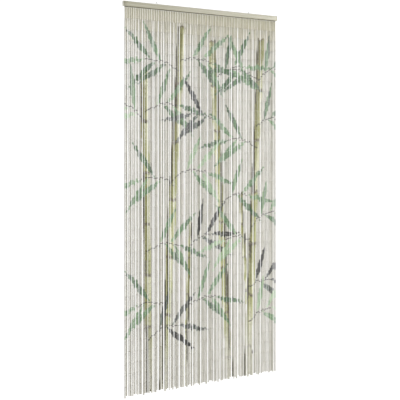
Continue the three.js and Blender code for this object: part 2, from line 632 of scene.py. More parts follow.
def tube_tile(rings: int, sides: int, flat_ends: int = 0) -> Tile:
    """Makes the tile of a tube of rings that a face closes at each end.

    Args:
        rings: How many rings of points the tube has.
        sides: How many points a ring has.
        flat_ends: How many bands of faces at each end are flat shaded, such as a cut end's.

    Returns:
        The tile, whose points are ring by ring.
    """
    faces, maps, smooth = [], [], []
    for ring in range(rings - 1):
        low, high = ring / (rings - 1), (ring + 1) / (rings - 1)
        for side in range(sides):
            after = (side + 1) % sides
            left, right = side / sides, (side + 1) / sides
            start, above = ring * sides, (ring + 1) * sides
            faces.append((start + side, above + side, above + after, start + after))
            maps.append(((left, low), (left, high), (right, high), (right, low)))
            smooth.append(flat_ends <= ring < rings - 1 - flat_ends)
    for ring, level, order in ((0, 0.0, range(sides)), (rings - 1, 1.0, reversed(range(sides)))):
        cap = list(order)
        faces.append(tuple(ring * sides + side for side in cap))
        maps.append(tuple((side / sides, level) for side in cap))
        smooth.append(False)
    return Tile(tuple(faces), tuple(maps), tuple(smooth), rings * sides)


class Group(Enum):
    """The three stretches of the curtain that are each one joined mesh."""

    LEFT = "left"
    MIDDLE = "middle"
    RIGHT = "right"

    def strands(self, count: int) -> tuple[int, int]:
        """Returns the first strand of the stretch, and the one after its last."""
        number = list(Group).index(self)
        return round(count * number / len(Group)), round(count * (number + 1) / len(Group))


@dataclass(frozen=True)
class RingRow:
    """A ring of points of a stick.

    share says from where along the stick the ring is placed: 0 is its top, 1 its lower end and
    KNUCKLE its knuckle. inward is how much further down it is, and radius its size as a share.
    """

    share: float
    inward: float
    radius: float
    bulge: float = 0.0
    # How much of the painted shade of the stick's open core the ring takes
    core_shade: float = 0.0


KNUCKLE = 0.5

STICK_RINGS = (
    RingRow(0, 0.0, 0.40, core_shade=1.0),
    RingRow(0, 0.0, 0.95),
    RingRow(0, 0.35 * MM, 1.0),
    RingRow(KNUCKLE, -2.2 * MM, 1.0),
    RingRow(KNUCKLE, 0.0, 1.0, bulge=1.0),
    RingRow(KNUCKLE, 2.2 * MM, 1.0),
    RingRow(1, -0.35 * MM, 1.0),
    RingRow(1, 0.0, 0.95),
    RingRow(1, 0.0, 0.40, core_shade=1.0),
)

# What the shaders read where a stick bears no leaf, twig or stem: a place far off any of them
NO_LEAF = (-1.0, 9.0, 0.0)
NO_TWIG = (0.0, 0.0, 0.0)
NO_STEM = (9.0, 0.0, 0.0)


@dataclass
class StickMeshes:
    """Builds the sticks of all strands, with what the print's shader reads.

    Light and dark strands take turns, but for a slip now and then, and each takes the print
    more or less fully, unlike those beside it.
    """

    layout: StrandLayout
    design: Print
    sides: int = 10
    bulge_most: float = 0.035
    bend_least: float = 0.2
    bend_most: float = 0.12 * MM
    taper_most: float = 0.02
    oval_most: float = 0.03
    knuckle_places: tuple[float, float] = (0.22, 0.78)
    print_shift: float = 6.5 * MM
    print_spread: float = 0.45
    turns_share: float = 0.5
    slip_share: float = 0.14
    press_step: float = 0.618
    press_stray: float = 0.12
    tone_stray: float = 0.07
    raw_sticks: float = 3.2
    seed: int = 7
    strand_shift: Array = field(init=False)
    strand_tone: Array = field(init=False)
    strand_press: Array = field(init=False)

    def __post_init__(self) -> None:
        """Draws what varies from strand to strand."""
        draw = np.random.default_rng(self.seed)
        count = self.layout.count
        strands = np.arange(count)
        self.strand_shift = draw.uniform(-1, 1, count) * self.print_shift
        darker = (strands + np.floor(strands * self.slip_share)) % 2
        by_turns, rest = self.turns_share * darker, 1 - self.turns_share
        self.strand_tone = by_turns + draw.uniform(0, rest, count)
        stray = draw.uniform(-self.press_stray, self.press_stray, count)
        self.strand_press = by_turns + rest * ((strands * self.press_step + stray) % 1)

    def samples(self, sticks: Sticks) -> tuple[Array, Array]:
        """Spreads points all over each stick, in the print's plane.

        Args:
            sticks: The sticks.

        Returns:
            The points' places across and their heights, by stick, across and down.
        """
        root = self.layout.root_x()[sticks.strand]
        half = self.print_spread * self.layout.pitch / 2
        across = np.linspace(-half, half, self.design.samples_across)
        down = np.linspace(0, 1, self.design.samples_down)
        x = root[:, None, None] + across[None, :, None] + np.zeros((1, 1, len(down)))
        z = sticks.top[:, 2, None] + (sticks.low[:, 2] - sticks.top[:, 2])[:, None] * down[None]
        z = z + self.strand_shift[sticks.strand][:, None]
        return x, np.broadcast_to(z[:, None, :], x.shape)

    def rings(self, sticks: Sticks, draw: np.random.Generator) -> tuple[Array, ...]:
        """Places the rings of every stick.

        Args:
            sticks: The sticks to build.
            draw: The source of what varies from stick to stick.

        Returns:
            Points, each point's direction from the stick's middle line, how far out it is as a
            share of the stick's radius, and its distance from the nearer end, by stick and point.
        """
        count = len(sticks.radius)
        share, inward, radius, bulge, _ = np.array([astuple(row) for row in STICK_RINGS]).T
        knuckle = draw.uniform(*self.knuckle_places, count)
        span = sticks.low - sticks.top
        length = np.linalg.norm(span, axis=1)[:, None]
        at = np.where(share == KNUCKLE, knuckle[:, None], share[None, :]) + inward[None, :] / length
        bulged = draw.uniform(0, 1, count) ** 2 * self.bulge_most
        size = radius[None, :] * sticks.radius[:, None]
        size = size * (1 + bulged[:, None] * bulge[None, :])
        taper = draw.uniform(-self.taper_most, self.taper_most, count)
        size = size * (1 + taper[:, None] * (2 * at - 1))
        centre = sticks.top[:, None, :] + span[:, None, :] * at[:, :, None]
        bend_way = draw.uniform(0, FULL_TURN, count)
        bend = draw.uniform(self.bend_least, 1, count) * self.bend_most
        bow = np.sin(np.pi * at) * bend[:, None]
        centre[:, :, 0] += bow * np.cos(bend_way)[:, None]
        centre[:, :, 1] += bow * np.sin(bend_way)[:, None]
        turn = draw.uniform(0, FULL_TURN / self.sides, count)
        angle = turn[:, None] + np.arange(self.sides)[None, :] * FULL_TURN / self.sides
        way = np.stack([np.cos(angle), np.sin(angle), np.zeros_like(angle)], -1)[:, None]
        oval = 1 + draw.uniform(-self.oval_most, self.oval_most, (count, 1, self.sides))
        reach = size[:, :, None] * oval
        points = centre[:, :, None, :] + reach[..., None] * way
        end = np.broadcast_to((np.minimum(at, 1 - at) * length)[:, :, None], reach.shape)
        return (
            points.reshape(count, -1, 3),
            np.broadcast_to(way, points.shape).reshape(count, -1, 3),
            (reach / sticks.radius[:, None, None]).reshape(count, -1),
            end.reshape(count, -1),
        )

    def print_attributes(self, sticks: Sticks, x: Array, z: Array) -> dict[str, Array]:
        """Gives every point its place on each motif that its stick bears.

        Args:
            sticks: The sticks.
            x: Each point's place across the print, by stick and point.
            z: Each point's height in the print.

        Returns:
            The attributes that the shader reads, by name.
        """
        samples = self.samples(sticks)
        middle = self.layout.root_x()[sticks.strand][:, None] + np.zeros_like(x)
        made = {}
        for name, motifs, slots, free, read_x in (
            ("leaf", self.design.leaves(), LEAF_SLOTS, NO_LEAF, x),
            ("twig", self.design.twigs(), TWIG_SLOTS, NO_TWIG, x),
            ("stem", self.design.stems, 1, NO_STEM, middle),
        ):
            borne = self.design.borne(motifs, *samples, slots)
            for slot in range(slots):
                values = np.broadcast_to(np.array(free), (*x.shape, 3)).copy()
                for number, motif in enumerate(motifs):
                    on = borne[:, slot] == number
                    values[on] = motif.read(read_x[on], z[on])
                made[f"{name}_{slot + 1}"] = values.reshape(-1, 3)
        return made

    def build(self, group: Group, sticks: Sticks) -> Piece:
        """Builds the sticks of a stretch as a joined mesh.

        Args:
            group: The stretch.
            sticks: The sticks of the whole curtain.

        Returns:
            The piece.
        """
        first, beyond = group.strands(self.layout.count)
        mine = sticks.part((sticks.strand >= first) & (sticks.strand < beyond))
        draw = np.random.default_rng(self.seed + first)
        points, way, reach, end = self.rings(mine, draw)
        count, shape = len(mine.radius), reach.shape
        root = self.layout.root_x()[mine.strand][:, None]
        flat_x = root + self.print_spread * (reach * way[..., 0] * self.layout.pitch / 2)
        flat_z = points[..., 2] + self.strand_shift[mine.strand][:, None]
        raw = np.clip(1 - mine.number / self.raw_sticks, 0, 1)
        stray = draw.uniform(-self.tone_stray, self.tone_stray, count)
        tone = np.clip(self.strand_tone[mine.strand] + stray, 0, 1)
        chance = draw.uniform(0, 1, count)
        finish = np.stack([np.broadcast_to(v[:, None], shape) for v in (tone, raw, chance)], -1)
        # Each point's share of the painted shade of the open core, on the flat end caps
        core_shade = np.repeat([row.core_shade for row in STICK_RINGS], self.sides)
        place = np.stack([-way[..., 1], end, np.broadcast_to(core_shade, shape)], -1)
        columns = 2 * (beyond - first)
        half = math.ceil(self.layout.sticks / 2)
        column = 2 * (mine.strand - first) + mine.number // half
        cells = np.stack([column, half - 1 - mine.number % half], -1)
        attributes = self.print_attributes(mine, flat_x, flat_z)
        attributes["finish"] = finish.reshape(-1, 3)
        attributes["place"] = place.reshape(-1, 3)
        attributes["press"] = np.repeat(self.strand_press[mine.strand], shape[1])
        tile = tube_tile(len(STICK_RINGS), self.sides, flat_ends=1)
        name = f"bamboo_sticks_{group.value}"
        return tile.build(name, points, cells, (columns, half), attributes)


@dataclass
class LinkMeshes:
    """Builds the wire loops that join the sticks, and those at the strands' tops."""

    layout: StrandLayout
    wire_radius: float = 0.4 * MM
    leg_spacing: float = 0.9 * MM
    leg_reach: float = 1.5 * MM
    least_gap: float = 0.2 * MM
    turn_stray: float = 0.5
    arc_steps: int = 4
    sides: int = 4
    seed: int = 11

    def hairpin(self) -> Array:
        """Draws one loop's middle line: down a leg, round the bend and up the other leg.

        Returns:
            The line's points in the loop's own plane.
        """
        bend = self.leg_spacing - self.wire_radius
        arc = np.linspace(math.pi, FULL_TURN, self.arc_steps + 1)
        x = self.leg_spacing * np.cos(arc)
        z = self.leg_spacing * np.sin(arc) + bend
        top = self.layout.link_length / 2 + self.leg_reach
        return np.array([(-self.leg_spacing, top), *zip(x, z), (self.leg_spacing, top)])

    def tube(self) -> Array:
        """Draws one loop's tube in its own plane.

        Returns:
            The tube's points by step and side.
        """
        line = self.hairpin()
        ahead = np.gradient(line, axis=0)
        ahead /= np.linalg.norm(ahead, axis=1)[:, None]
        outward = np.stack([ahead[:, 1], -ahead[:, 0]], -1)
        angle = np.arange(self.sides) * FULL_TURN / self.sides + np.pi / 4
        flat = line[:, None] + self.wire_radius * np.cos(angle)[None, :, None] * outward[:, None]
        y = np.broadcast_to(self.wire_radius * np.sin(angle), flat.shape[:2])
        return np.stack([flat[..., 0], y, flat[..., 1]], -1)

    def build(self, group: Group, sticks: Sticks) -> Piece:
        """Builds the wire loops that join a stretch's sticks and hold its first ones.

        Args:
            group: The stretch.
            sticks: The sticks of the whole curtain.

        Returns:
            The piece.
        """
        first, beyond = group.strands(self.layout.count)
        mine = (sticks.strand >= first) & (sticks.strand < beyond)
        upper = np.flatnonzero(mine & (sticks.number < self.layout.sticks - 1))
        crown = np.flatnonzero(mine & (sticks.number == 0))
        above_crown = sticks.top[crown] + [0, 0, self.layout.link_length]
        high = np.concatenate([sticks.low[upper], above_crown])
        deep = np.concatenate([sticks.top[upper + 1], sticks.top[crown]])
        middle = ((high + deep) / 2)[:, None, None]
        gap = high[:, 2] - deep[:, 2]
        lean = ((high - deep) / np.maximum(gap, self.least_gap)[:, None])[:, None, None]
        slack = ((gap / self.layout.link_length)[:, None, None] - 1) * self.layout.link_length / 2
        draw = np.random.default_rng(self.seed + first)
        count = len(middle)
        turn = draw.uniform(-self.turn_stray, self.turn_stray, count)
        turn = turn + math.pi / 2 * draw.integers(0, 2, count)
        shape = self.tube()[None]
        loops = []
        for quarter, way in ((0, 1), (math.pi / 2, -1)):
            cos, sin = np.cos(turn + quarter)[:, None, None], np.sin(turn + quarter)[:, None, None]
            x = shape[..., 0] * cos - shape[..., 1] * sin
            y = way * (shape[..., 0] * sin + shape[..., 1] * cos)
            up = way * (shape[..., 2] + slack * (shape[..., 2] > 0))
            x = x + middle[..., 0] + lean[..., 0] * up
            y = y + middle[..., 1] + lean[..., 1] * up
            loops.append(np.stack([x, y, up + middle[..., 2]], -1))
        copies = 2 * count
        columns = math.ceil(math.sqrt(copies))
        cell = np.arange(copies)
        cells = np.stack([cell % columns, cell // columns], -1)
        tile = tube_tile(shape.shape[1], self.sides)
        chance = np.repeat(draw.uniform(0, 1, copies), tile.point_count)
        name, grid = f"wire_loops_{group.value}", (columns, columns)
        return tile.build(name, np.stack(loops, 1), cells, grid, {"chance": chance})


@dataclass(frozen=True)
class Bar:
    """A long bar along X with round long edges and eased ends."""

    name: str
    length: float
    depth: float
    height: float
    top: float
    edge: float
    edge_steps: int
    end_ease_most: float = 0.8 * MM
    stations: int = 41
    sharp_deg: float = 50.0

    def outline(self) -> Array:
        """Draws the bar's section.

        Returns:
            The section's points in the YZ plane.
        """
        low = self.top - self.height
        points = []
        for number, (side, level) in enumerate(((1, 1), (-1, 1), (-1, -1), (1, -1))):
            middle_y = side * (self.depth / 2 - self.edge)
            middle_z = (self.top + low) / 2 + level * ((self.top - low) / 2 - self.edge)
            for step in range(self.edge_steps + 1):
                angle = math.pi / 2 * (number + step / self.edge_steps)
                y = middle_y + self.edge * math.cos(angle)
                points.append((y, middle_z + self.edge * math.sin(angle)))
        return np.array(points)

    def build(self) -> Piece:
        """Builds the bar.

        Returns:
            The piece.
        """
        outline = self.outline()
        centre = outline.mean(0)
        half, ease = self.length / 2, min(self.end_ease_most, self.edge)
        inner = centre + (outline - centre) * (1 - ease / (self.depth / 2))
        rows = [(-half, inner), (-half + ease, outline)]
        rows.extend((x, outline) for x in np.linspace(-half, half, self.stations)[1:-1])
        rows.extend([(half - ease, outline), (half, inner)])
        sides = len(outline)
        points = [np.column_stack([np.full(sides, x), ring]) for x, ring in rows]
        tile = tube_tile(len(rows), sides).facing_other_way()
        piece = tile.build_one(self.name, np.concatenate(points))
        piece.data.set_sharp_from_angle(angle=math.radians(self.sharp_deg))
        return piece


@dataclass(frozen=True)
class Rail(Bar):
    """The slat from which everything hangs."""

    name: str = "rail_slat"
    length: float = 1000 * MM
    depth: float = 14 * MM
    height: float = 25 * MM
    top: float = 0.0
    edge: float = 2 * MM
    edge_steps: int = 6


@dataclass(frozen=True)
class Strip(Bar):
    """The narrow strip under the rail, to which the strands' first loops go."""

    name: str = "hanging_strip"
    length: float = 984 * MM
    depth: float = 5 * MM
    height: float = 3.5 * MM
    top: float = -25.3 * MM
    edge: float = 0.6 * MM
    edge_steps: int = 3


@dataclass(frozen=True)
class ScrewEye:
    """A steel eye whose plain shank goes into the rail's top."""

    x: float
    wire_radius: float = 0.95 * MM
    ring_radius: float = 3.95 * MM
    neck: float = 1 * MM
    neck_share: float = 0.6
    shank_depth: float = 14 * MM
    point_share: float = 0.35
    ring_start_deg: float = 12.0
    ring_sweep_deg: float = 340.0
    ring_steps: int = 32
    sides: int = 14

    def path(self) -> list[Vector]:
        """Draws the wire's middle line: up the shank, then round to near where it began.

        Returns:
            The line's points.
        """
        centre = self.neck + self.wire_radius + self.ring_radius
        shank_steps = round(self.shank_depth / MM)
        line = [Vector((self.x, 0, step * MM - self.shank_depth)) for step in range(shank_steps)]
        line.append(Vector((self.x, 0, self.neck * self.neck_share)))
        for step in range(self.ring_steps + 1):
            swept = self.ring_start_deg + self.ring_sweep_deg * step / self.ring_steps
            angle = -math.pi / 2 + math.radians(swept)
            x = self.x + self.ring_radius * math.cos(angle)
            line.append(Vector((x, 0, centre + self.ring_radius * math.sin(angle))))
        return line

    def build(self, name: str) -> Piece:
        """Builds the eye.

        Args:
            name: The piece's name.

        Returns:
            The piece.
        """
        line = self.path()
        across = Vector((0, 1, 0))
        points = []
        for number, middle in enumerate(line):
            before, after = line[max(number - 1, 0)], line[min(number + 1, len(line) - 1)]
            outward = (after - before).normalized().cross(across).normalized()
            radius = self.wire_radius * (1.0 if number else self.point_share)
            for side in range(self.sides):
                angle = FULL_TURN * side / self.sides
                way = math.cos(angle) * outward + math.sin(angle) * across
                points.append(tuple(middle + radius * way))
        return tube_tile(len(line), self.sides).build_one(name, np.array(points))


class Flow:
    """A value on its way through a shader, with which sums are done as with a number."""

    def __init__(self, tree: bpy.types.NodeTree, socket: bpy.types.NodeSocket) -> None:
        """Takes the node tree, and the output that the value comes from."""
        self.tree = tree
        self.socket = socket

    def maths(self, operation: str, *others: "Flow | float") -> "Flow":
        """Returns the outcome of a Math node whose first value is this one."""
        return Shade(self.tree).maths(operation, self, *others)

    def __add__(self, other: "Flow | float") -> "Flow":
        """Returns the sum."""
        return self.maths("ADD", other)

    def __sub__(self, other: "Flow | float") -> "Flow":
        """Returns the difference."""
        return self.maths("SUBTRACT", other)

    def __rsub__(self, other: float) -> "Flow":
        """Returns a number less this value."""
        return Shade(self.tree).maths("SUBTRACT", other, self)

    def __mul__(self, other: "Flow | float") -> "Flow":
        """Returns the product."""
        return self.maths("MULTIPLY", other)

    def __abs__(self) -> "Flow":
        """Returns the value without its sign."""
        return self.maths("ABSOLUTE")

    def largest(self, other: "Flow | float") -> "Flow":
        """Returns the larger of the two."""
        return self.maths("MAXIMUM", other)

    def step(self, low: float, high: float, to_low: float = 0.0, to_high: float = 1.0) -> "Flow":
        """Moves the value smoothly from one range to another, and holds it at its ends.

        Args:
            low: Where the value's range begins.
            high: Where it ends.
            to_low: The outcome at low.
            to_high: The outcome at high.

        Returns:
            The outcome.
        """
        values = (self, low, high, to_low, to_high)
        sockets = dict(zip(("Value", "From Min", "From Max", "To Min", "To Max"), values))
        smooth = {"interpolation_type": "SMOOTHSTEP"}
        return Shade(self.tree).value("ShaderNodeMapRange", sockets, **smooth)


class Step(NamedTuple):
    """A smooth step: the range that it starts from, and the range of its outcome."""

    low: float
    high: float
    to_low: float = 0.0
    to_high: float = 1.0


class Shade:
    """A shader's node tree, with short calls that add nodes and join them.

    A Mix node has sockets of the same name for numbers and colours, so they go by number.
    """

    mix_share, mix_under, mix_over, mix_colour = 0, 6, 7, 2

    def __init__(self, tree: bpy.types.NodeTree) -> None:
        """Takes the tree to add to."""
        self.tree = tree

    def join(self, value: object, socket: bpy.types.NodeSocket) -> None:
        """Leads a value into a socket, or sets it there when it is a constant.

        Args:
            value: The value or constant.
            socket: The socket.
        """
        if isinstance(value, Flow):
            self.tree.links.new(value.socket, socket)
        else:
            socket.default_value = value

    def node(self, kind: str, sockets: dict, **settings: object) -> bpy.types.Node:
        """Adds a node.

        Args:
            kind: The node's type name.
            sockets: Values for its inputs, by name or number.
            **settings: Values for its own settings.

        Returns:
            The node.
        """
        made = self.tree.nodes.new(kind)
        for label, value in settings.items():
            setattr(made, label, value)
        for label, value in sockets.items():
            self.join(value, made.inputs[label])
        return made

    def value(self, kind: str, sockets: dict, output: int | str = 0, **settings: object) -> Flow:
        """Adds a node and returns one of its outputs."""
        return Flow(self.tree, self.node(kind, sockets, **settings).outputs[output])

    def maths(self, operation: str, *values: Flow | float) -> Flow:
        """Adds a Math node."""
        return self.value("ShaderNodeMath", dict(enumerate(values)), operation=operation)

    def mix(self, share: Flow, under: object, over: object) -> Flow:
        """Returns one colour over another."""
        sockets = {self.mix_share: share, self.mix_under: under, self.mix_over: over}
        return self.value("ShaderNodeMix", sockets, self.mix_colour, data_type="RGBA")

    def colours(self, value: Flow, stops: Sequence[tuple[float, tuple]]) -> Flow:
        """Colours a value by a ramp.

        Args:
            value: The value.
            stops: The ramp's colours, each after its place.

        Returns:
            The colour.
        """
        made = self.node("ShaderNodeValToRGB", {"Fac": value})
        elements = made.color_ramp.elements
        while len(elements) < len(stops):
            elements.new(1.0)
        for element, (place, colour) in zip(elements, stops):
            element.position = place
            element.color = colour
        return Flow(self.tree, made.outputs["Color"])

    def attribute(self, name: str) -> Flow:
        """Returns a named attribute of the mesh as a vector."""
        return self.value("ShaderNodeAttribute", {}, "Vector", attribute_name=name)

    def parts(self, vector: Flow) -> tuple[Flow, ...]:
        """Returns the three parts of a vector."""
        made = self.node("ShaderNodeSeparateXYZ", {0: vector})
        return tuple(Flow(self.tree, part) for part in made.outputs)

    def noise(self, place: Flow, scale: float, detail: float, roughness: float) -> Flow:
        """Returns a noise from about 0.3 to 0.7 that varies over the surface."""
        sockets = {"Vector": place, "Scale": scale, "Detail": detail, "Roughness": roughness}
        return self.value("ShaderNodeTexNoise", sockets)

    def group(self, tree: bpy.types.NodeTree, sockets: dict) -> tuple[Flow, ...]:
        """Adds a node group and returns its outputs."""
        made = self.node("ShaderNodeGroup", sockets, node_tree=tree)
        return tuple(Flow(self.tree, output) for output in made.outputs)


class GroupShade(Shade):
    """A shader node group in the making, with named inputs and outputs."""

    def __init__(self, name: str, inputs: dict[str, str], outputs: Sequence[str]) -> None:
        """Starts a group.

        Args:
            name: Its name.
            inputs: The kind of each input, by name.
            outputs: The names of its outputs, which are all numbers.
        """
        super().__init__(bpy.data.node_groups.new(name, "ShaderNodeTree"))
        face = self.tree.interface
        for label, kind in inputs.items():
            face.new_socket(name=label, in_out="INPUT", socket_type=f"NodeSocket{kind}")
        for label in outputs:
            face.new_socket(name=label, in_out="OUTPUT", socket_type="NodeSocketFloat")
        self.given = self.tree.nodes.new("NodeGroupInput")
        self.out = self.tree.nodes.new("NodeGroupOutput")

    def take(self, label: str) -> Flow:
        """Returns an input of the group."""
        return Flow(self.tree, self.given.outputs[label])

    def give(self, label: str, value: Flow) -> None:
        """Leads a value out of the group."""
        self.join(value, self.out.inputs[label])


class Material(Shade):
    """A material in the making: its tree and its Principled shader."""

    relief = 0.3 * MM

    def __init__(self, name: str) -> None:
        """Starts a material.

        Args:
            name: Its name.
        """
        self.made = bpy.data.materials.new(name)
        self.made.use_nodes = True
        super().__init__(self.made.node_tree)
        self.shader = self.tree.nodes["Principled BSDF"]

    def give(self, label: str, value: object) -> None:
        """Leads a value into the shader."""
        self.join(value, self.shader.inputs[label])

    def place(self) -> Flow:
        """Returns each place in the piece's own coordinates."""
        return self.value("ShaderNodeTexCoord", {}, "Object")

    def bump(self, height: Flow, strength: float) -> None:
        """Leads a height into the shader's normal."""
        sockets = {"Strength": strength, "Distance": self.relief, "Height": height}
        self.give("Normal", self.value("ShaderNodeBump", sockets))


class NodeGroups:
    """The shader node groups that more than one material or slot uses, each built once."""

    fibre_noise = (2.4, 4, 0.62)
    fibre_step = Step(0.3, 0.7)
    streak_noise = (0.55, 2, 0.5)
    streak_step = Step(0.32, 0.68)
    leaf_fraying = 0.16
    leaf_edge = Step(0.06, 0.14)
    leaf_vein = Step(0.04, 0.16, -0.07, 0.0)
    leaf_fade = 0.14
    twig_edge = Step(0.0, 0.002)

    def __init__(self) -> None:
        """Builds the groups."""
        self.grain = self._grain()
        self.leaf = self._leaf()
        self.twig = self._twig()

    def _grain(self) -> bpy.types.NodeTree:
        """Makes fine fibres that run along a stick or board, with broader streaks among them.

        Returns:
            The group.
        """
        inputs = {"Place": "Vector", "Stretch": "Vector"}
        shade = GroupShade("wood_grain", inputs, ("Fibres", "Streaks"))
        sockets = {0: shade.take("Place"), 1: shade.take("Stretch")}
        place = shade.value("ShaderNodeVectorMath", sockets, operation="MULTIPLY")
        fibres = shade.noise(place, *self.fibre_noise)
        streaks = shade.noise(place, *self.streak_noise)
        shade.give("Fibres", fibres.step(*self.fibre_step))
        shade.give("Streaks", streaks.step(*self.streak_step))
        return shade.tree

    def _leaf(self) -> bpy.types.NodeTree:
        """Makes a lance leaf that is stamped over what lies under it.

        Returns:
            The group.
        """
        inputs = {"Leaf": "Vector", "Brush": "Float", "Ink Under": "Float", "Cover Under": "Float"}
        shade = GroupShade("leaf_stamp", inputs, ("Ink", "Cover"))
        along, across, ink = shade.parts(shade.take("Leaf"))
        inside = along.largest(0.0).maths("MINIMUM", 1.0)
        profile = (inside.maths("POWER", LEAF_FULLNESS) * math.pi).maths("SINE")
        off_middle = abs(across)
        frayed = profile - off_middle + shade.take("Brush") * self.leaf_fraying
        cover = frayed.step(*self.leaf_edge)
        vein = off_middle.step(*self.leaf_vein)
        toned = ink + (inside - 0.5) * self.leaf_fade + vein
        under = shade.take("Ink Under")
        shade.give("Ink", under + (toned - under) * cover)
        shade.give("Cover", cover.largest(shade.take("Cover Under")))
        return shade.tree

    def _twig(self) -> bpy.types.NodeTree:
        """Makes a thin round arc that is stamped over what lies under it.

        Returns:
            The group.
        """
        inputs = {"Twig": "Vector", "Cover Under": "Float"}
        shade = GroupShade("twig_stamp", inputs, ("Cover",))
        x, z, half_width = shade.parts(shade.take("Twig"))
        off_line = abs((x * x + z * z).maths("SQRT") - 1.0)
        cover = (half_width - off_line).step(*self.twig_edge)
        shade.give("Cover", cover.largest(shade.take("Cover Under")))
        return shade.tree


@dataclass(frozen=True)
class Spot:
    """What each part of the print reads from the bamboo under it."""

    patchy: Flow
    streaks: Flow
    press: Flow
    level: Flow


@dataclass(frozen=True)
class BambooFinish:
    """Thin bamboo with a pale ground coat and the print on its front, and bare behind."""

    groups: NodeGroups

    # The bare bamboo, darker by its streaks, by chance and by the strand's tone
    bare_pale: tuple = srgb(197, 194, 174)
    bare_dark: tuple = srgb(178, 172, 148)
    grain_stretch: tuple = (620.0, 620.0, 21.0)
    bare_base: float = 0.12
    bare_by_streaks: float = 0.5
    bare_by_chance: float = 0.25
    bare_by_tone: float = 0.14
    fibre_value: Step = Step(0.0, 1.0, 0.96, 1.02)
    fibre_roughness: Step = Step(0.0, 1.0, 0.44, 0.62)
    ink_gloss: float = 0.06
    bump: float = 0.12

    # The cut ends, and the hollow cores, whose dark is painted shade on the flat end caps where the
    # open core would lie in shade
    cut_end: tuple = srgb(206, 198, 174)
    cut_depth: Step = Step(0.0, 0.25 * MM, 1.0, 0.0)
    cut_cover: float = 0.8
    core_shade: tuple = srgb(96, 82, 60)
    core_shade_step: Step = Step(0.45, 1.0)

    # The coat, on the front and round the sides
    coat: tuple = srgb(238, 236, 231)
    coat_shade: tuple = srgb(174, 171, 159)
    coat_by_streaks: float = 0.3
    coat_by_tone: float = 0.8
    coat_reach: Step = Step(-0.66, -0.4)
    coat_reach_stray: float = 0.3
    coat_at_end: Step = Step(0.0, 0.8 * MM, 0.8, 1.0)
    coat_cover: float = 0.93
    patch_noise: tuple = (95.0, 3, 0.6)

    # The stems: a stem has a shady side, a glint beside it and a dark edge on that side
    stem_glint: tuple = srgb(228, 226, 198)
    stem_light: tuple = srgb(186, 188, 132)
    stem_dark: tuple = srgb(132, 130, 70)
    stem_edge: tuple = srgb(50, 42, 8)
    stem_ring: tuple = srgb(84, 68, 46)
    stem_outline: Step = Step(0.94, 1.08, 1.0, 0.0)
    stem_outline_stray: float = 0.2
    stem_top: Step = Step(-0.01, 0.01)
    stem_side_tone: float = 0.45
    stem_patches: float = 0.5
    stem_by_stretch: Step = Step(0.0, 1.0, -0.2, 0.15)
    stem_press_by_level: Step = Step(-1.5, -0.3, 1.6, 0.5)
    stem_shade: Step = Step(-0.5, 1.0)
    stem_shade_at_top: Step = Step(0.0, 2.6, 0.55, 0.0)
    stem_glint_at: float = -0.25
    stem_glint_width: Step = Step(0.1, 0.3, 0.8, 0.0)
    stem_edge_step: Step = Step(0.76, 0.86)
    stem_edge_cover: float = 0.9
    stem_fade: Step = Step(-1.95, -1.55, 0.2, 1.0)
    stem_ring_step: Step = Step(0.452, 0.494)
    stem_ring_cover: float = 0.8
    stem_cover: float = 0.9

    # The twigs and leaves
    twig: tuple = srgb(44, 42, 38)
    twig_cover: float = 0.85
    inks: tuple = (
        (0.0, srgb(194, 212, 182)),
        (0.2, srgb(146, 174, 136)),
        (0.34, srgb(102, 136, 98)),
        (0.52, srgb(54, 84, 54)),
        (0.61, srgb(128, 134, 129)),
        (0.72, srgb(70, 74, 72)),
        (0.86, srgb(18, 19, 19)),
    )
    ink_patches: float = 0.16
    ink_by_press: Step = Step(0.0, 1.0, -0.13, 0.14)
    leaf_cover: float = 0.82
    leaf_cover_by_streaks: float = 0.12

    def material(self) -> bpy.types.Material:
        """Makes the finish.

        Returns:
            The material.
        """
        shade = Material("printed_bamboo")
        place = shade.place()
        sockets = {"Place": place, "Stretch": self.grain_stretch}
        fibres, streaks = shade.group(self.groups.grain, sockets)
        tone, raw, chance = shade.parts(shade.attribute("finish"))
        front, end, core_shade = shade.parts(shade.attribute("place"))
        patchy = shade.noise(place, *self.patch_noise)
        bare_share = streaks * self.bare_by_streaks + self.bare_base
        bare_share = bare_share + chance * self.bare_by_chance + tone * self.bare_by_tone
        bare = shade.mix(bare_share, self.bare_pale, self.bare_dark)
        coat_share = streaks * self.coat_by_streaks + tone * self.coat_by_tone
        coat = shade.mix(coat_share, self.coat, self.coat_shade)
        on_front = (front + patchy * self.coat_reach_stray).step(*self.coat_reach)
        laid = on_front * (1.0 - raw) * end.step(*self.coat_at_end)
        ground = shade.mix(laid * self.coat_cover, bare, coat)
        press = shade.parts(shade.attribute("press"))[0]
        spot = Spot(patchy, streaks, press, level=shade.parts(place)[2])
        colour, stem_cover = self._with_stem(shade, ground, spot)
        colour, twig_cover = self._with_twigs(shade, colour)
        colour, leaf_cover = self._with_leaves(shade, colour, spot)
        colour = shade.mix(on_front, ground, colour)
        sockets = {"Value": fibres.step(*self.fibre_value), "Color": colour}
        colour = shade.value("ShaderNodeHueSaturation", sockets)
        colour = shade.mix(end.step(*self.cut_depth) * self.cut_cover, colour, self.cut_end)
        # Painted shade: the open core's shadowed inside, painted dark on the flat end caps
        colour = shade.mix(core_shade.step(*self.core_shade_step), colour, self.core_shade)
        shade.give("Base Color", colour)
        ink_cover = leaf_cover.largest(stem_cover).largest(twig_cover) * on_front
        roughness = fibres.step(*self.fibre_roughness) - ink_cover * self.ink_gloss
        shade.give("Roughness", roughness)
        shade.bump(fibres, self.bump)
        return shade.made

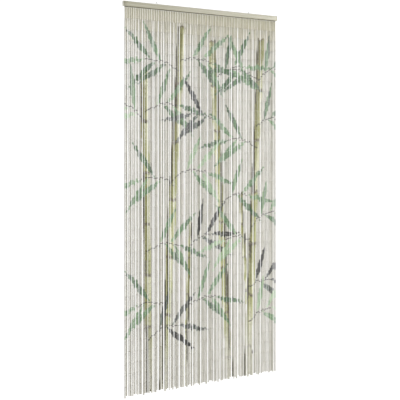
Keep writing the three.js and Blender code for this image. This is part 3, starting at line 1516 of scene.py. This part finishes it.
    def _with_stem(self, shade: Material, ground: Flow, spot: Spot) -> tuple[Flow, Flow]:
        """Adds the stem that a stick may bear.

        Args:
            shade: The material in the making.
            ground: The colour under the stem.
            spot: What the print reads from the bamboo under it.

        Returns:
            The colour with the stem, and the stem's cover.
        """
        across, rings_down, tone = shade.parts(shade.attribute("stem_1"))
        cover = (abs(across) + spot.patchy * self.stem_outline_stray).step(*self.stem_outline)
        cover = cover * rings_down.step(*self.stem_top)
        stretch = {"W": rings_down.maths("FLOOR") + tone}
        own = shade.value("ShaderNodeTexWhiteNoise", stretch, "Value", noise_dimensions="1D")
        side = (tone - self.stem_side_tone).maths("SIGN")
        pressed = (spot.press - 0.5) * spot.level.step(*self.stem_press_by_level)
        shady = across * side + spot.patchy * self.stem_patches + pressed
        shady = shady + own.step(*self.stem_by_stretch)
        shade_share = shady.step(*self.stem_shade) + rings_down.step(*self.stem_shade_at_top)
        colour = shade.mix(shade_share, self.stem_light, self.stem_dark)
        glint = abs(shady - self.stem_glint_at).step(*self.stem_glint_width)
        colour = shade.mix(glint, colour, self.stem_glint)
        edge = shady.step(*self.stem_edge_step) * self.stem_edge_cover
        colour = shade.mix(edge, colour, self.stem_edge)
        cover = cover * spot.level.step(*self.stem_fade).largest(edge)
        near_ring = abs(rings_down.maths("FRACT") - 0.5).step(*self.stem_ring_step)
        colour = shade.mix(near_ring * self.stem_ring_cover, colour, self.stem_ring)
        return shade.mix(cover * self.stem_cover, ground, colour), cover

    def _with_twigs(self, shade: Material, ground: Flow) -> tuple[Flow, Flow]:
        """Adds the twigs that a stick may bear.

        Args:
            shade: The material in the making.
            ground: The colour under the twigs.

        Returns:
            The colour with the twigs, and the twigs' cover.
        """
        cover: Flow | float = 0.0
        for slot in range(TWIG_SLOTS):
            sockets = {"Twig": shade.attribute(f"twig_{slot + 1}"), "Cover Under": cover}
            (cover,) = shade.group(self.groups.twig, sockets)
        return shade.mix(cover * self.twig_cover, ground, self.twig), cover

    def _with_leaves(self, shade: Material, ground: Flow, spot: Spot) -> tuple[Flow, Flow]:
        """Adds the leaves that a stick may bear.

        Args:
            shade: The material in the making.
            ground: The colour under the leaves.
            spot: What the print reads from the bamboo under it.

        Returns:
            The colour with the leaves, and the leaves' cover.
        """
        brush = spot.patchy - 0.5
        ink: Flow | float = 0.0
        cover: Flow | float = 0.0
        for slot in range(LEAF_SLOTS):
            leaf = shade.attribute(f"leaf_{slot + 1}")
            sockets = {"Leaf": leaf, "Brush": brush, "Ink Under": ink, "Cover Under": cover}
            ink, cover = shade.group(self.groups.leaf, sockets)
        uneven = ink + brush * self.ink_patches + spot.press.step(*self.ink_by_press)
        thin = spot.streaks * self.leaf_cover_by_streaks + self.leaf_cover
        return shade.mix(cover * thin, ground, shade.colours(uneven, self.inks)), cover


@dataclass(frozen=True)
class RailFinish:
    """A pale lacquered slat with its grain along it, and lighter where it is sawn off: partly the
    end grain's own colour, partly painted light on the ends.
    """

    groups: NodeGroups
    name: str = "rail_slat"
    pale: tuple = srgb(176, 173, 156)
    dark: tuple = srgb(151, 147, 124)
    end_grain_and_light: tuple = srgb(226, 223, 208)
    end_grain_and_light_step: Step = Step(499.4 * MM, 499.8 * MM)
    grain_stretch: tuple = (9.0, 420.0, 420.0)
    dark_by_streaks: float = 0.55
    dark_by_fibres: float = 0.3
    fibre_roughness: Step = Step(0.0, 1.0, 0.38, 0.56)
    bump: float = 0.2

    def material(self) -> bpy.types.Material:
        """Makes the finish.

        Returns:
            The material.
        """
        shade = Material(self.name)
        place = shade.place()
        sockets = {"Place": place, "Stretch": self.grain_stretch}
        fibres, streaks = shade.group(self.groups.grain, sockets)
        share = streaks * self.dark_by_streaks + fibres * self.dark_by_fibres
        colour = shade.mix(share, self.pale, self.dark)
        # The sawn ends are paler partly by their end grain, partly by painted light on them
        at_end = abs(shade.parts(place)[0]).step(*self.end_grain_and_light_step)
        shade.give("Base Color", shade.mix(at_end, colour, self.end_grain_and_light))
        shade.give("Roughness", fibres.step(*self.fibre_roughness))
        shade.bump(fibres, self.bump)
        return shade.made


@dataclass(frozen=True)
class StripFinish(RailFinish):
    """The narrow brown strip that the strands hang from, whose ends are as brown as it is."""

    name: str = "hanging_strip"
    pale: tuple = srgb(110, 105, 80)
    dark: tuple = srgb(80, 75, 54)
    # The strip's ends take no painted light, and are as brown as the rest
    end_grain_and_light: tuple = srgb(80, 75, 54)
    grain_stretch: tuple = (14.0, 700.0, 700.0)
    dark_by_streaks: float = 1.0
    dark_by_fibres: float = 0.0
    fibre_roughness: Step = Step(0.0, 1.0, 0.6, 0.6)
    bump: float = 0.25


@dataclass(frozen=True)
class WireFinish:
    """Zinc-plated steel wire, slightly dulled."""

    bright: tuple = srgb(196, 196, 192)
    dull: tuple = srgb(148, 146, 138)
    cloud_noise: tuple = (260.0, 3, 0.6)
    cloud_step: Step = Step(0.35, 0.65)
    cloud_roughness: Step = Step(0.0, 1.0, 0.28, 0.46)

    def material(self) -> bpy.types.Material:
        """Makes the finish.

        Returns:
            The material.
        """
        shade = Material("plated_wire")
        shade.give("Metallic", 1.0)
        cloudy = shade.noise(shade.place(), *self.cloud_noise).step(*self.cloud_step)
        shade.give("Base Color", shade.mix(cloudy, self.bright, self.dull))
        shade.give("Roughness", cloudy.step(*self.cloud_roughness))
        return shade.made


@dataclass(frozen=True)
class SoftLight:
    """A square light: where it is, what it is turned to, its side in metres and its watts."""

    name: str
    place: tuple[float, float, float]
    aim: tuple[float, float, float]
    size: float
    power: float

    def build(self) -> None:
        """Adds the light."""
        data = bpy.data.lights.new(self.name, "AREA")
        data.size = self.size
        data.energy = self.power
        lamp = bpy.data.objects.new(self.name, data)
        lamp.location = self.place
        way = Vector(self.aim) - Vector(self.place)
        lamp.rotation_euler = way.to_track_quat("-Z", "Y").to_euler()
        bpy.context.scene.collection.objects.link(lamp)


@dataclass(frozen=True)
class Studio:
    """The camera at the photo's angle, the pale floor and the soft lights."""

    camera_place: tuple[float, float, float] = (-2.923, -4.110, -0.730)
    camera_turn_deg: float = -35.17
    sensor: float = 36
    lens: float = 85.17
    horizon_shift: float = -0.135
    far: float = 100
    floor_level: float = -2.12
    floor_half: float = 30.0
    floor_roughness: float = 0.9
    floor_paint: tuple = (0.9, 0.9, 0.9, 1)
    floor_glow: float = 0.5
    dome_light: float = 0.37
    backdrop: float = 1.12
    lights: tuple[SoftLight, ...] = (
        SoftLight("key", place=(3.8, -2.8, 0.2), aim=(0, 0, -0.9), size=1.6, power=166),
        SoftLight("fill", place=(-3.2, -4.0, 0.2), aim=(0, 0, -1.0), size=2.6, power=30),
    )

    def camera(self) -> None:
        """Adds the camera."""
        data = bpy.data.cameras.new("camera")
        data.sensor_width = self.sensor
        data.lens = self.lens
        data.shift_y = self.horizon_shift
        data.clip_end = self.far
        camera = bpy.data.objects.new("camera", data)
        camera.location = self.camera_place
        camera.rotation_euler = (math.radians(90), 0, math.radians(self.camera_turn_deg))
        bpy.context.scene.collection.objects.link(camera)
        bpy.context.scene.camera = camera

    def floor(self) -> None:
        """Adds the pale floor, which the camera sees in the backdrop's own white."""
        mesh = bpy.data.meshes.new("floor")
        sides = ((-1, -1), (1, -1), (1, 1), (-1, 1))
        corners = [(x * self.floor_half, y * self.floor_half, self.floor_level) for x, y in sides]
        mesh.from_pydata(corners, [], [(0, 1, 2, 3)])
        floor = bpy.data.objects.new("floor", mesh)
        bpy.context.scene.collection.objects.link(floor)
        shade = Material("pale_floor")
        shade.give("Roughness", self.floor_roughness)
        seen = shade.value("ShaderNodeLightPath", {}, "Is Camera Ray")
        shade.give("Base Color", shade.mix(seen, self.floor_paint, BLACK))
        shade.give("Emission Color", WHITE)
        shade.give("Emission Strength", seen.step(0.0, 1.0, self.floor_glow, self.backdrop))
        mesh.materials.append(shade.made)

    def surroundings(self) -> None:
        """Adds the even light from all sides, and the white that the camera sees behind."""
        world = bpy.data.worlds.new("surroundings")
        world.use_nodes = True
        shade = Shade(world.node_tree)
        background = world.node_tree.nodes["Background"]
        seen = shade.value("ShaderNodeLightPath", {}, "Is Camera Ray")
        strength = seen.step(0.0, 1.0, self.dome_light, self.backdrop)
        shade.join(WHITE, background.inputs["Color"])
        shade.join(strength, background.inputs["Strength"])
        bpy.context.scene.world = world
        bpy.context.scene.view_settings.view_transform = "Standard"

    def build(self) -> None:
        """Adds the camera, floor, lights and even surroundings."""
        self.camera()
        self.floor()
        for light in self.lights:
            light.build()
        self.surroundings()


@dataclass
class Curtain:
    """The whole door curtain: rail, strip, eyes, sticks and wire loops."""

    layout: StrandLayout = field(default_factory=StrandLayout)
    design: Print = field(default_factory=Print)
    eye_spacing: float = 600 * MM

    def settle(self, piece: Piece, material: bpy.types.Material, node: str) -> None:
        """Dresses a piece, hangs it on the root body, and hides the node of the solids that it
        stands for.

        Args:
            piece: The piece.
            material: What it is dressed with.
            node: The node of the solids that it stands for.
        """
        piece.data.materials.append(material)
        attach(piece, ROOT)
        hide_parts(node)
        LOG.info("%s: %d faces", piece.name, len(piece.data.polygons))

    def build(self) -> None:
        """Builds every piece."""
        groups = NodeGroups()
        bamboo = BambooFinish(groups).material()
        wire = WireFinish().material()
        self.settle(Rail().build(), RailFinish(groups).material(), RAIL_NODE)
        self.settle(Strip().build(), StripFinish(groups).material(), STRAND_NODE)
        for side, node in zip((-1, 1), EYE_NODES):
            eye = ScrewEye(side * self.eye_spacing / 2).build(f"{node}_ring")
            self.settle(eye, wire, node)
        sticks = self.layout.sticks_of_strands()
        stick_meshes = StickMeshes(self.layout, self.design)
        link_meshes = LinkMeshes(self.layout)
        for group in Group:
            self.settle(stick_meshes.build(group, sticks), bamboo, STRAND_NODE)
            self.settle(link_meshes.build(group, sticks), wire, STRAND_NODE)


def main() -> None:
    """Builds the curtain and its studio."""
    logging.basicConfig(level=logging.INFO)
    Curtain().build()
    Studio().build()


if __name__ == "__main__":
    main()
